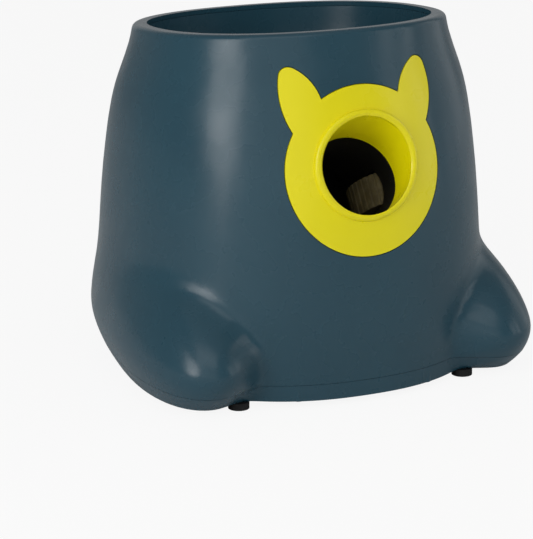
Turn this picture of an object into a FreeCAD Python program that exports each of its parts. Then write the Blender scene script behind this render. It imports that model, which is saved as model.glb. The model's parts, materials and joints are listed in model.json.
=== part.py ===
import FreeCAD, Part
import math
import os
import re
from types import SimpleNamespace

import Sketcher
from FreeCAD import Placement, Rotation, Vector

# Automatic dog ball launcher. Millimetres, +Z up, the muzzle faces -Y, +X is to the right of it.
# The origin is on the floor, under the middle of the machine.

SIZES = {
    # outer skin: half widths (side) and half depths (front, rear) of the round body at named heights
    "floor_gap": 6.0,
    "seam_height": 20.0,
    "belly_height": 70.0,
    "waist_height": 120.0,
    "chest_height": 180.0,
    "shoulder_height": 240.0,
    "neck_height": 285.0,
    "rim_height": 300.0,
    "side_base": 156.0,
    "side_belly": 164.9,
    "side_waist": 162.1,
    "side_chest": 157.3,
    "side_shoulder": 149.6,
    "side_neck": 135.5,
    "side_rim": 133.6,
    "depth_base": 161.4,
    "depth_belly": 164.7,
    "depth_waist": 163.5,
    "depth_chest": 158.2,
    "depth_shoulder": 143.6,
    "depth_neck": 126.5,
    "depth_rim": 124.6,
    "rear_extra": 1.6,
    "skin_power": 2.27,
    "rim_lean": 5.2,
    "rim_round": 5.0,
    "rim_width": 12.5,
    "rim_thickness": 4.0,
    "wall": 3.0,
    "seam_gap": 0.3,
    "seat_gap": 0.3,
    # haunches
    "haunch_side": 120.0,
    "haunch_forward": 18.8,
    "haunch_height": 43.1,
    "haunch_reach": 58.4,
    "haunch_length": 147.4,
    "haunch_rise": 87.3,
    "haunch_drop": 67.0,
    "haunch_turn": 6.4,
    "haunch_sweep": 0.35,
    "haunch_plan_power": 2.24,
    "haunch_side_power": 1.7,
    "crease_blend": 8.0,
    # face trim
    "face_height": 198.0,
    "face_radius": 70.0,
    "face_thickness": 2.6,
    "face_gap": 0.8,
    "face_backing": 2.8,
    "face_border": 5.0,
    "muzzle_height": 203.0,
    "muzzle_radius": 40.8,
    "lip_radius": 3.6,
    "muzzle_lean": 15.0,
    "collar_depth": 31.7,
    "collar_wall": 3.0,
    # launch barrel, chute and ball path
    "launch_angle": 35.0,
    "bore_radius": 38.0,
    "tube_wall": 3.0,
    "barrel_length": 118.0,
    "breech_stub": 32.0,
    "chute_drop_back": 52.0,
    "chute_drop_height": 172.0,
    "chute_top": 192.0,
    "barrel_flange": 10.0,
    "flange_thickness": 3.0,
    # throwing wheels
    "wheel_depth": 90.0,
    "wheel_offset": 62.0,
    "wheel_radius": 38.0,
    "wheel_width": 28.0,
    "hub_radius": 26.0,
    "tyre_groove": 1.33,
    "hub_rim": 3.0,
    "hub_boss": 5.5,
    "hub_dish": 10.0,
    "hub_hole": 4.4,
    "hub_hole_out": 14.3,
    "wheel_clearance": 3.0,
    "launch_motor_radius": 14.0,
    "launch_motor_length": 38.0,
    "launch_motor_boss": 5.0,
    "launch_motor_cap": 6.3,
    "motor_screw_out": 8.7,
    "motor_plate": 3.0,
    "launch_shaft_radius": 1.5,
    # feed gate
    "gate_along": 63.0,
    "gate_drop": 12.0,
    "gate_radius": 28.0,
    "gate_width": 12.0,
    "gate_hub": 8.0,
    "gate_shaft": 3.0,
    "gate_bracket_out": 20.0,
    "gear_motor_length": 34.0,
    # hopper
    "bowl_wall": 2.6,
    "bowl_taper": 20.0,
    "bowl_floor_slope": 14.0,
    "bowl_floor_height": 209.0,
    # battery bay
    "cell_radius": 13.1,
    "cell_length": 50.0,
    "bay_front": 61.0,
    "bay_height": 34.0,
    "door_thickness": 2.4,
    # rear panel
    "panel_height": 95.0,
    "panel_width": 88.0,
    "panel_tall": 44.0,
    "panel_seat": 156.0,
    "panel_border": 8.0,
    "panel_thickness": 3.0,
    "button_radius": 8.0,
    "button_spread": 26.0,
    # fasteners and small parts
    "foot_radius": 9.0,
    "foot_side": 106.0,
    "foot_front": 130.0,
    "foot_rear": 104.0,
    "screw_radius": 1.5,
    "screw_head": 3.6,
    "small_screw_radius": 1.1,
    "small_screw_head": 2.2,
    "boss_radius": 5.5,
    "screw_clearance": 0.1,
    "running_gap": 0.05,
}

doc = FreeCAD.newDocument("DogBallLauncher")
sheet = doc.addObject("Spreadsheet::Sheet", "Sizes")
for row, (alias, value) in enumerate(SIZES.items(), start=1):
    sheet.set(f"A{row}", alias)
    sheet.set(f"B{row}", str(value))
    sheet.setAlias(f"B{row}", alias)
doc.recompute()
S = SimpleNamespace(**{alias: float(sheet.get(alias)) for alias in SIZES})

X_AXIS = Vector(1, 0, 0)
Y_AXIS = Vector(0, 1, 0)
Z_AXIS = Vector(0, 0, 1)
ALONG_X = Rotation(Y_AXIS, 90)
ALONG_Y = Rotation(X_AXIS, -90)
UPRIGHT = Rotation()
SIDES = {"left": -1, "right": 1}

sub_parts = []


def rule(text):
    """Turn a formula of size names into an expression on the sheet."""
    return re.sub(r"[a-z_]{3,}", lambda word: "Sizes." + word[0] if word[0] in SIZES else word[0], text)


def keep(obj, label):
    """Mark an object as a finished sub-part with its own name."""
    obj.Label = label
    sub_parts.append(obj)
    return obj


def frame_at(x, y, z, turn=UPRIGHT, inside=None):
    place = Placement(Vector(x, y, z), turn)
    return inside.multiply(place) if inside else place


def cylinder(name, radius, height, place):
    obj = doc.addObject("Part::Cylinder", name)
    obj.setExpression("Radius", rule(radius))
    obj.setExpression("Height", rule(height))
    obj.Placement = place
    return obj


def sphere(name, radius, place):
    obj = doc.addObject("Part::Sphere", name)
    obj.setExpression("Radius", rule(radius))
    obj.Placement = place
    return obj


def box(name, length, width, height, place):
    """A box centred on its placement in X and Y, standing on it in Z."""
    obj = doc.addObject("Part::Box", name)
    obj.setExpression("Length", rule(length))
    obj.setExpression("Width", rule(width))
    obj.setExpression("Height", rule(height))
    doc.recompute([obj])
    corner = Placement(Vector(-obj.Length.Value / 2, -obj.Width.Value / 2, 0), UPRIGHT)
    obj.Placement = place.multiply(corner)
    return obj


def fuse(name, *objects):
    obj = doc.addObject("Part::MultiFuse", name)
    obj.Shapes = list(objects)
    return obj


def cut(name, base, *tools):
    """Cut the tools out of the base one after the other."""
    for number, tool in enumerate(tools, start=1):
        obj = doc.addObject("Part::Cut", name if number == len(tools) else f"{name}_step_{number}")
        obj.Base = base
        obj.Tool = tool
        base = obj
    return base


def common(name, base, tool):
    obj = doc.addObject("Part::Common", name)
    obj.Base = base
    obj.Tool = tool
    return obj


def group(name, objects):
    obj = doc.addObject("Part::Compound", name)
    obj.Links = list(objects)
    return obj


def shaped(name, shape):
    """A Part::Feature for the free-form pieces, whose shapes come from formulas."""
    obj = doc.addObject("Part::Feature", name)
    obj.Shape = shape
    return obj


# ---------------------------------------------------------------- outer skin

SKIN_STEPS = 120
HEIGHTS = [
    S.floor_gap, S.belly_height, S.waist_height, S.chest_height, S.shoulder_height,
    S.neck_height, S.rim_height - S.rim_round,
]
SIDE_SIZES = [
    S.side_base, S.side_belly, S.side_waist, S.side_chest, S.side_shoulder, S.side_neck, S.side_rim,
]
DEPTH_SIZES = [
    S.depth_base, S.depth_belly, S.depth_waist, S.depth_chest, S.depth_shoulder, S.depth_neck, S.depth_rim,
]


def smooth_curve(heights, values, z):
    """Smooth value at height z through the values at the named heights."""
    z = min(max(z, heights[0]), heights[-1])
    spot = max(i for i in range(len(heights) - 1) if heights[i] <= z or i == 0)

    def slope(i):
        low = max(i - 1, 0)
        high = min(i + 1, len(heights) - 1)
        return (values[high] - values[low]) / (heights[high] - heights[low])

    span = heights[spot + 1] - heights[spot]
    t = (z - heights[spot]) / span
    rise = values[spot + 1] - values[spot]
    start = slope(spot) * span
    end = slope(spot + 1) * span
    return values[spot] + start * t + (3 * rise - 2 * start - end) * t**2 + (start + end - 2 * rise) * t**3


def half_side(z):
    return smooth_curve(HEIGHTS, SIDE_SIZES, z)


def half_depth(z, y):
    extra = S.rear_extra if y > 0 else 0.0
    return smooth_curve(HEIGHTS, DEPTH_SIZES, z) + extra


def body_distance(x, y, z):
    """Roughly the distance outside the round body, negative inside."""
    power = S.skin_power
    side = half_side(z)
    gauge = (abs(x / side) ** power + abs(y / half_depth(z, y)) ** power) ** (1 / power)
    return (gauge - 1) * side


def haunch_distance(x, y, z):
    """Roughly the distance outside the haunch on the same side, negative inside."""
    turn = math.radians(S.haunch_turn)
    rise = z - S.haunch_height
    out = (abs(x) - S.haunch_side) * math.cos(turn) + (y + S.haunch_forward) * math.sin(turn)
    back = (y + S.haunch_forward) * math.cos(turn) - (abs(x) - S.haunch_side) * math.sin(turn)
    back -= S.haunch_sweep * rise
    tall = S.haunch_rise if rise > 0 else S.haunch_drop
    plan = abs(out / S.haunch_reach) ** S.haunch_plan_power + abs(back / S.haunch_length) ** S.haunch_plan_power
    upright = abs(rise / tall) ** S.haunch_side_power
    gauge = (plan ** (S.haunch_side_power / S.haunch_plan_power) + upright) ** (1 / S.haunch_side_power)
    return (gauge - 1) * S.haunch_reach


def skin_distance(x, y, z):
    """Body and haunch together, blended along the crease."""
    body = body_distance(x, y, z)
    haunch = haunch_distance(x, y, z)
    overlap = max(S.crease_blend - abs(body - haunch), 0) / S.crease_blend
    return min(body, haunch) - overlap**2 * S.crease_blend / 4


def skin_radius(angle, z, depth):
    """Distance of the skin from the axis at this angle from the front, at a depth under the surface."""
    east = math.sin(angle)
    north = -math.cos(angle)
    low, high = 40.0, 400.0
    for _ in range(34):
        middle = (low + high) / 2
        if skin_distance(middle * east, middle * north, z) < -depth:
            low = middle
        else:
            high = middle
    return low


def lean_at(z):
    """How strongly a section leans with the rim: none low down, all of it at the rim."""
    share = min(max((z - S.waist_height) / (S.neck_height - S.waist_height), 0), 1)
    return math.tan(math.radians(S.rim_lean)) * share**2 * (3 - 2 * share)


def skin_point(angle, z, depth, inset=0.0, rise=0.0):
    radius = skin_radius(angle, z, depth) - inset
    x = radius * math.sin(angle)
    y = -radius * math.cos(angle)
    return Vector(x, y, z + rise - lean_at(z) * y)


def solid_from_rings(rings):
    """A closed solid whose side is one smooth surface over the rings and whose ends are flat."""
    poles = [list(column) for column in zip(*rings)]
    around = len(poles)
    up = len(rings)
    surface = Part.BSplineSurface()
    surface.buildFromPolesMultsKnots(
        poles, [1] * (around + 1), [4] + [1] * (up - 4) + [4],
        list(range(around + 1)), list(range(up - 2)), True, False, 3, 3,
    )
    side = surface.toShape()
    ends = [Part.Face(Part.Wire([edge])) for edge in side.Edges if edge.isClosed() and edge.Length > 1]
    shell = Part.Shell([side] + ends)
    shell.sewShape()
    solid = Part.Solid(shell)
    if solid.Volume < 0:
        solid.reverse()
    return solid


def ring_angles():
    return [math.pi + 2 * math.pi * step / SKIN_STEPS for step in range(SKIN_STEPS)]


def spaced(low, high, step):
    count = max(round((high - low) / step), 1)
    return [low + (high - low) * i / count for i in range(count + 1)]


def skin_solid(bottom, top, depth, rounded=False):
    """The space inside the skin between two heights, at a depth under the surface."""
    turning = S.haunch_height + S.haunch_rise + 10
    levels = [z for z in spaced(bottom, turning, 5.0) if z < min(top, turning) - 2.0]
    if top > turning:
        levels += spaced(turning, top, 11.0)
    else:
        levels += [top]
    rings = [[skin_point(angle, z, depth) for angle in ring_angles()] for z in levels]
    if rounded:
        for step in range(1, 7):
            turn = math.radians(15 * step)
            inset = S.rim_round * (1 - math.cos(turn))
            rise = S.rim_round * math.sin(turn)
            rings.append([skin_point(angle, top, depth, inset, rise) for angle in ring_angles()])
    return solid_from_rings(rings)


RIM_SHOULDER = S.rim_height - S.rim_round
RIM_SLOPE = math.tan(math.radians(S.rim_lean))
HOUSING_BOTTOM = S.seam_height + S.seam_gap
CAVITY_TOP = S.rim_height - S.rim_thickness
BEYOND = 30.0
HALF_SPACE = 200.0


def oval_ring(side, depth, height, slope):
    """A ring of the body's own rounded plan, on a plane that rises toward the front."""
    ring = []
    for angle in ring_angles():
        gauge = abs(math.sin(angle) / side) ** S.skin_power + abs(math.cos(angle) / depth) ** S.skin_power
        radius = gauge ** (-1 / S.skin_power)
        y = -radius * math.cos(angle)
        ring.append(Vector(radius * math.sin(angle), y, height - slope * y))
    return ring


def oval_solid(side, depth, bottom, top, slope):
    """A straight-sided block of the body's plan between two leaning planes."""
    heights = spaced(bottom, top, (top - bottom) / 4)
    return solid_from_rings([oval_ring(side, depth, z, slope) for z in heights])


MOUTH_SIDE = S.side_rim - S.rim_width
MOUTH_DEPTH = S.depth_rim - S.rim_width
rim_mouth = oval_solid(MOUTH_SIDE, MOUTH_DEPTH, CAVITY_TOP - BEYOND, S.rim_height + BEYOND, RIM_SLOPE)
outer_skin = skin_solid(HOUSING_BOTTOM, RIM_SHOULDER, 0.0, rounded=True)
inner_skin = skin_solid(HOUSING_BOTTOM - BEYOND / 3, CAVITY_TOP, S.wall)
trim_floor_skin = skin_solid(HOUSING_BOTTOM, CAVITY_TOP, S.face_thickness + S.seat_gap)
trim_back_skin = skin_solid(HOUSING_BOTTOM, CAVITY_TOP, S.face_thickness + S.seat_gap + S.face_backing)


# ---------------------------------------------------------------- face trim outline

def arc_edge(start, middle, end):
    return Part.Arc(start, middle, end).toShape()


def face_point(across, up):
    """A point of the trim's outline as a share of the disc's radius, seen from the front."""
    return Vector(across * S.face_radius, -S.side_base - BEYOND, S.face_height + up * S.face_radius)


def ear_face(side):
    """One pointed ear: an inner and an outer arc that meet in a round tip, closed inside the disc."""
    inner_root = face_point(side * 0.50, 0.83)
    inner_side = face_point(side * 0.60, 1.07)
    tip_start = face_point(side * 0.765, 1.215)
    tip = face_point(side * 0.87, 1.225)
    tip_end = face_point(side * 0.945, 1.14)
    outer_side = face_point(side * 0.975, 0.86)
    outer_root = face_point(side * 0.855, 0.47)
    edges = [
        arc_edge(inner_root, inner_side, tip_start),
        arc_edge(tip_start, tip, tip_end),
        arc_edge(tip_end, outer_side, outer_root),
        Part.makeLine(outer_root, inner_root),
    ]
    return Part.Face(Part.Wire(edges))


def extruded(face):
    """The face drawn through the front wall as a block."""
    block = face.extrude(Vector(0, S.side_base, 0))
    return block if block.Volume > 0 else block.reversed()


def trim_block(grow):
    """The disc with both ears, grown all round, as one block through the front wall."""
    disc = Part.Face(Part.Wire(Part.makeCircle(S.face_radius + grow, face_point(0, 0), Y_AXIS)))
    ears = [ear_face(side) for side in SIDES.values()]
    if grow > 0:
        ears = [ear.makeOffset2D(grow) for ear in ears]
    return extruded(disc).fuse([extruded(ear) for ear in ears])


# muzzle frame: its Z runs along the barrel, outward; its Y is the upward normal of the barrel
MUZZLE_Y = -skin_radius(0, S.muzzle_height, 0)
MUZZLE_Z = S.muzzle_height
muzzle_frame = Placement(Vector(0, MUZZLE_Y, MUZZLE_Z), Rotation(X_AXIS, 90 - S.launch_angle))
mouth_normal = Vector(0, -math.cos(math.radians(S.muzzle_lean)), math.sin(math.radians(S.muzzle_lean)))
muzzle_centre = muzzle_frame.Base
LIP_OVERLAP = 0.4


def along_barrel(distance):
    """A point on the barrel's axis, measured outward from the muzzle."""
    return muzzle_frame.multVec(Vector(0, 0, distance))


def barrel_direction():
    return muzzle_frame.Rotation.multVec(Z_AXIS)


def mouth_ring(radius, outward=0.0):
    return Part.Wire(Part.makeCircle(radius, muzzle_centre + mouth_normal * outward, mouth_normal))


def throat_ring(radius, deeper=0.0):
    return Part.Wire(Part.makeCircle(radius, along_barrel(-S.collar_depth - deeper), barrel_direction()))


def funnel(mouth, throat):
    """The flared collar's shape between the mouth in the wall and the throat at the barrel."""
    return Part.makeLoft([mouth_ring(mouth), throat_ring(throat)], True, True)


def open_funnel(mouth, throat):
    """The space inside the collar, drawn on past both of its ends."""
    rings = [mouth_ring(mouth, BEYOND), mouth_ring(mouth), throat_ring(throat), throat_ring(throat, BEYOND / 10)]
    return Part.makeLoft(rings, True, True)


def lip_bead():
    """The round bead that follows the wall around the muzzle, as one surface closed both ways."""
    around, across = 48, 16
    ride = S.muzzle_radius + S.lip_radius - LIP_OVERLAP
    section = S.lip_radius * 3 / (2 + math.cos(2 * math.pi / across))
    poles = []
    for step in range(around):
        turn = 2 * math.pi * step / around
        outward = Vector(math.sin(turn), 0, math.cos(turn) * math.cos(math.radians(S.muzzle_lean)))
        centre = Vector(0, 0, MUZZLE_Z) + outward * ride
        centre.y = wall_y(centre.x, centre.z)
        row = []
        for corner in range(across):
            roll = 2 * math.pi * corner / across
            row.append(centre + outward * section * math.cos(roll) + mouth_normal * section * math.sin(roll))
        poles.append(row)
    surface = Part.BSplineSurface()
    surface.buildFromPolesMultsKnots(
        poles, [1] * (around + 1), [1] * (across + 1),
        list(range(around + 1)), list(range(across + 1)), True, True, 3, 3,
    )
    solid = Part.Solid(Part.Shell([surface.toShape()]))
    if solid.Volume < 0:
        solid.reverse()
    return solid


def wall_y(x, z):
    """Front of the skin above a point seen from the front."""
    low, high = -260.0, -20.0
    for _ in range(34):
        middle = (low + high) / 2
        if skin_distance(x, middle, z + lean_at(z) * middle) > 0:
            low = middle
        else:
            high = middle
    return low


# ---------------------------------------------------------------- face bezel

trim_inner_skin = skin_solid(HOUSING_BOTTOM, CAVITY_TOP, S.face_thickness)
trim_plate = trim_block(0.0).common(outer_skin).cut(trim_inner_skin)
lip = lip_bead().cut(trim_inner_skin)
collar = funnel(S.muzzle_radius + S.collar_wall, S.bore_radius + S.collar_wall).common(outer_skin)
muzzle_void = open_funnel(S.muzzle_radius, S.bore_radius)
keep(shaped("FaceBezel", trim_plate.fuse([collar, lip]).cut(muzzle_void)), "face_bezel")


# ---------------------------------------------------------------- housing

BOSS_TOP = 50.0
BOSS_ROOF = 5.0
BOSS_ANGLES = [math.radians(angle) for angle in (-22, 22, 150, 210)]


def boss_spot(angle):
    """Centre of a screw boss that grows out of the housing's wall."""
    radius = skin_radius(angle, S.seam_height, S.wall) - S.boss_radius / 2
    return Vector(radius * math.sin(angle), -radius * math.cos(angle), 0)


def upright(radius, spot, bottom, top):
    return Part.makeCylinder(radius, top - bottom, Vector(spot.x, spot.y, bottom))


def panel_block(border, front, rear):
    wide = S.panel_width + 2 * border
    tall = S.panel_tall + 2 * border
    return Part.makeBox(wide, rear - front, tall, Vector(-wide / 2, front, S.panel_height - tall / 2))


# the control panel sits behind a border inside the wall; its screws run into that border
PANEL_BACK = S.panel_seat - S.seat_gap - S.panel_thickness
PANEL_SHY = 2.0
PANEL_EDGE = S.panel_border - PANEL_SHY
SCREW_X = S.panel_width / 2 + PANEL_EDGE / 2
SCREW_Y = S.panel_tall / 2 - 4.0
PANEL_SCREW_REACH = 3.5
SCREW_END_ROOM = 0.5
PANEL_SCREW_SPOTS = [(side * SCREW_X, end * SCREW_Y) for side in (-1, 1) for end in (-1, 1)]
panel_screw_ways = [
    Part.makeCylinder(S.screw_radius + S.screw_clearance, PANEL_SCREW_REACH + SCREW_END_ROOM,
                      Vector(x, S.panel_seat, S.panel_height + z), Y_AXIS)
    for x, z in PANEL_SCREW_SPOTS
]
housing = outer_skin.cut(inner_skin).cut(rim_mouth)
backing = trim_block(S.face_border).common(outer_skin).cut(trim_back_skin)
recess = trim_block(S.face_gap).cut(trim_floor_skin)
collar_way = funnel(S.muzzle_radius + S.collar_wall + S.seat_gap, S.bore_radius + S.collar_wall + S.seat_gap)
panel_frame = panel_block(S.panel_border, S.panel_seat, S.panel_seat + BEYOND).common(outer_skin)
boss_spots = [boss_spot(angle) for angle in BOSS_ANGLES]
bosses = [upright(S.boss_radius, spot, HOUSING_BOTTOM, BOSS_TOP).common(outer_skin) for spot in boss_spots]
screw_bores = [upright(S.screw_radius + S.screw_clearance, spot, 0, BOSS_TOP - BOSS_ROOF) for spot in boss_spots]
housing = housing.fuse([backing, panel_frame] + bosses)
housing = housing.cut([recess, collar_way, panel_block(0, S.panel_seat - BEYOND, S.panel_seat + BEYOND)]
                      + screw_bores + panel_screw_ways)
keep(shaped("Housing", housing), "housing")


# ---------------------------------------------------------------- base tray

TRAY_FLOOR = S.floor_gap + S.wall
NEST_HEIGHT = 5.0
NEST_WALL = 1.6
tray = skin_solid(S.floor_gap, S.seam_height, 0.0)
tray = tray.fuse(skin_solid(S.floor_gap + S.wall, S.seam_height + NEST_HEIGHT, S.wall + S.seat_gap))
tray = tray.cut(skin_solid(TRAY_FLOOR, S.seam_height + BEYOND, S.wall + S.seat_gap + NEST_WALL))

CELLS_ACROSS = 2
CELLS_DEEP = 3
SPRING_ROOM = 10.0
BAY_WALL = 2.0
BAY_WIDE = CELLS_ACROSS * S.cell_length + SPRING_ROOM
BAY_DEEP = CELLS_DEEP * 2 * (S.cell_radius + S.seat_gap)
BAY_MIDDLE = S.bay_front + BAY_DEEP / 2


def bay_block(border, bottom, top):
    wide = BAY_WIDE + 2 * border
    deep = BAY_DEEP + 2 * border
    return Part.makeBox(wide, deep, top - bottom, Vector(-wide / 2, BAY_MIDDLE - deep / 2, bottom))


BAY_TOP = S.floor_gap + S.bay_height
tray = tray.fuse([bay_block(BAY_WALL, S.floor_gap, BAY_TOP + BAY_WALL)])
HEAD_DEPTH = 3.2
HEAD_ROOM = 0.2
NEST_ROOM = 0.5
columns = [upright(S.boss_radius, spot, S.floor_gap, S.seam_height) for spot in boss_spots]
nest_gaps = [upright(S.boss_radius + NEST_ROOM, spot, S.seam_height, S.seam_height + BEYOND) for spot in boss_spots]
head_holes = [upright(S.screw_head + HEAD_ROOM, spot, 0, S.floor_gap + HEAD_DEPTH) for spot in boss_spots]

FOOT_SPOTS = [
    Vector(side * S.foot_side, y, 0) for side in SIDES.values() for y in (-S.foot_front, S.foot_rear)
]
FOOT_PLUG = 3.0
foot_holes = [upright(FOOT_PLUG + S.seat_gap, spot, 0, TRAY_FLOOR + 1) for spot in FOOT_SPOTS]

BOARD_X = -102.0
BOARD_Y = -8.0
BOARD_WIDE = 58.0
BOARD_DEEP = 84.0
BOARD_LIFT = 9.0
BOARD_THICK = 1.6
POST_RADIUS = 3.5
PILOT = 1.2
BOARD_MARGIN = 5.0
BOARD_SPOTS = [
    Vector(BOARD_X + side * (BOARD_WIDE / 2 - BOARD_MARGIN), BOARD_Y + end * (BOARD_DEEP / 2 - BOARD_MARGIN), 0)
    for side in (-1, 1) for end in (-1, 1)
]
posts = [upright(POST_RADIUS, spot, S.floor_gap, TRAY_FLOOR + BOARD_LIFT) for spot in BOARD_SPOTS]
pilots = [upright(PILOT, spot, TRAY_FLOOR, TRAY_FLOOR + BOARD_LIFT + 1) for spot in BOARD_SPOTS]

SPEAKER_SPOT = Vector(104.0, -8.0, 0)
SPEAKER_RADIUS = 22.0
GRILLE_HOLE = 1.5
grille = [upright(GRILLE_HOLE, SPEAKER_SPOT, 0, TRAY_FLOOR + 1)]
for ring, holes in ((6.0, 6), (12.0, 12)):
    for step in range(holes):
        turn = 2 * math.pi * step / holes
        spot = SPEAKER_SPOT + Vector(ring * math.cos(turn), ring * math.sin(turn), 0)
        grille.append(upright(GRILLE_HOLE, spot, 0, TRAY_FLOOR + 1))

HINGE_RADIUS = S.door_thickness / 2
HINGE_Y = BAY_MIDDLE + BAY_DEEP / 2
PIN_RADIUS = 0.9
PIN_REACH = 4.0
pin_holes = [
    Part.makeCylinder(PIN_RADIUS + S.screw_clearance, PIN_REACH + 1,
                      Vector(side * BAY_WIDE / 2, HINGE_Y - HINGE_RADIUS - S.seat_gap, S.floor_gap + HINGE_RADIUS),
                      X_AXIS * side)
    for side in SIDES.values()
]

# brackets that carry the mechanism stand on the tray's floor, each held by screws through it
CRADLE_Y = -80.0
STAND_Y = 49.0
BRACKET_PLATE = 3.0
CRADLE_SPOTS = [Vector(side * 32, CRADLE_Y, 0) for side in (-1, 1)]
STAND_SPOTS = [Vector(side * 32, STAND_Y - 4.5, 0) for side in (-1, 1)]


def chute_slope():
    """Rise angle of the ball chute from the breech up to the drop pipe."""
    breech = along_barrel(-S.barrel_length)
    return math.atan2(S.chute_drop_height - breech.z, S.chute_drop_back - breech.y)


# chute frame: its Z runs up the chute from the breech and its Y points down through the chute's floor
BREECH = along_barrel(-S.barrel_length)
chute_frame = Placement(BREECH, Rotation(X_AXIS, math.degrees(chute_slope()) - 90))
CHUTE_LENGTH = (Vector(0, S.chute_drop_back, S.chute_drop_height) - BREECH).Length
gate_centre = chute_frame.multVec(Vector(0, S.bore_radius + S.gate_drop, S.gate_along))
BRACKET_FOOT = 12.0
GATE_SPOTS = [Vector(side * (S.gate_bracket_out + BRACKET_FOOT * 0.6), gate_centre.y, 0) for side in (-1, 1)]
bracket_holes = [
    upright(S.screw_radius + S.screw_clearance, spot, 0, TRAY_FLOOR + 1)
    for spot in CRADLE_SPOTS + STAND_SPOTS + GATE_SPOTS
]

tray = tray.fuse(columns + posts)
tray = tray.cut([bay_block(0, S.floor_gap - 1, BAY_TOP)] + nest_gaps + head_holes + foot_holes + pilots)
tray = tray.cut(grille + pin_holes + bracket_holes + screw_bores)
keep(shaped("BaseTray", tray), "base_tray")


# ---------------------------------------------------------------- hopper bowl

def bowl_rings(grow, top):
    rings = []
    for height in spaced(S.chute_top - 10, top, (top - S.chute_top) / 6):
        share = (top - height) / (top - S.chute_top)
        inset = S.bowl_taper * share**1.5
        slope = RIM_SLOPE * max(1 - 1.5 * share, 0)
        rings.append(oval_ring(MOUTH_SIDE - inset + grow, MOUTH_DEPTH - inset + grow, height, slope))
    return rings


def below_floor(drop):
    """Everything under the bowl's sloping floor, lowered by a drop."""
    slab = Part.makeBox(2 * HALF_SPACE, 2 * HALF_SPACE, HALF_SPACE, Vector(-HALF_SPACE, -HALF_SPACE, -HALF_SPACE))
    floor_spot = Vector(0, S.chute_drop_back, S.bowl_floor_height - drop)
    slab.Placement = Placement(floor_spot, Rotation(X_AXIS, -S.bowl_floor_slope))
    return slab


BOWL_TOP = CAVITY_TOP - S.seat_gap
drop_spot = Vector(0, S.chute_drop_back, 0)
bowl = solid_from_rings(bowl_rings(S.bowl_wall, BOWL_TOP)).cut(below_floor(S.bowl_wall))
neck = upright(S.bore_radius + S.tube_wall, drop_spot, S.chute_top + S.seat_gap, S.bowl_floor_height + BEYOND)
FLANGE_REACH = 5.5
flange = oval_solid(MOUTH_SIDE + FLANGE_REACH, MOUTH_DEPTH + FLANGE_REACH, BOWL_TOP - S.bowl_wall, BOWL_TOP, RIM_SLOPE)
bowl_space = solid_from_rings(bowl_rings(0.0, BOWL_TOP + 1)).cut(below_floor(0.0))
bowl = bowl.fuse([neck.common(below_floor(0.0)), flange])
bowl = bowl.cut([bowl_space, upright(S.bore_radius, drop_spot, 0, S.rim_height)])
keep(shaped("HopperBowl", bowl), "hopper_bowl")


# ---------------------------------------------------------------- launch barrel

TUBE = "bore_radius + tube_wall"
WINDOW_ROOM = "wheel_width + 2 * wheel_clearance"
ELBOW_SWELL = 0.05


def barrel_body(name, radius, spare):
    """Straight barrel, round breech and the stub toward the chute; the breech is a touch larger than both."""
    bottom = -S.barrel_length
    tube = cylinder(name + "_tube", radius, f"barrel_length - collar_depth - seat_gap + {spare}",
                    frame_at(0, 0, bottom, UPRIGHT, muzzle_frame))
    breech = sphere(name + "_breech", f"{radius} + {ELBOW_SWELL}", frame_at(0, 0, bottom, UPRIGHT, muzzle_frame))
    stub = cylinder(name + "_stub", radius, f"breech_stub + {spare}", chute_frame)
    return fuse(name, tube, breech, stub)


def wheel_windows(name):
    """Clearance for both throwing wheels through the sides of the barrel."""
    rooms = []
    for word, side in SIDES.items():
        place = frame_at(side * S.wheel_offset, -S.wheel_width / 2 - S.wheel_clearance, -S.wheel_depth,
                         ALONG_Y, muzzle_frame)
        rooms.append(cylinder(f"{name}_{word}", "wheel_radius + wheel_clearance", WINDOW_ROOM, place))
    return rooms


MOTOR_PLATE_TOP = -S.wheel_width / 2 - S.wheel_clearance - 0.5
MOTOR_PLATE_BORDER = 6.0
FLANGE_ALONG = S.barrel_length + 23.0
FLANGE_DEEP = 22.0
FLANGE_SCREW_X = S.bore_radius + S.tube_wall + S.barrel_flange / 2
GUARD_SENSOR_ALONG = -S.collar_depth - 8.0
SENSOR_NOSE = 2.5
SENSOR_CASE = 8.0
SENSOR_CASE_HIGH = 6.0
SENSOR_STAND_OFF = 0.4
SENSOR_SHY = 0.5


def half_space(name, upper):
    """A block that holds everything above or below the plane through the barrel's axis."""
    turn = ALONG_Y if upper else Rotation(X_AXIS, 90)
    return box(name, str(2 * HALF_SPACE), str(2 * HALF_SPACE), str(HALF_SPACE), frame_at(0, 0, 0, turn, muzzle_frame))


def sensor_pair(name, frame, along):
    """Two facing light sensors: a round nose through the tube's wall and a square case outside it."""
    pieces = []
    for word, side in SIDES.items():
        turn = Rotation(Y_AXIS, 90 * side)
        nose = cylinder(f"{name}_nose_{word}", str(SENSOR_NOSE), f"tube_wall + {SENSOR_STAND_OFF}",
                        frame_at(side * (S.bore_radius + SENSOR_SHY), 0, along, turn, frame))
        case = box(f"{name}_case_{word}", str(SENSOR_CASE), str(SENSOR_CASE), str(SENSOR_CASE_HIGH),
                   frame_at(side * (S.bore_radius + S.tube_wall + SENSOR_STAND_OFF), 0, along, turn, frame))
        pieces.append(fuse(f"{name}_{word}", nose, case))
    return keep(group(name + "_pair", pieces), name)


def sensor_way(name, frame, along):
    """The way through both walls of a tube for a pair of light sensors."""
    reach = f"bore_radius + tube_wall + {SENSOR_CASE_HIGH}"
    start = frame_at(-S.bore_radius - S.tube_wall - SENSOR_CASE_HIGH, 0, along, ALONG_X, frame)
    return cylinder(name, f"{SENSOR_NOSE} + seat_gap", f"2 * ({reach})", start)


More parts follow.
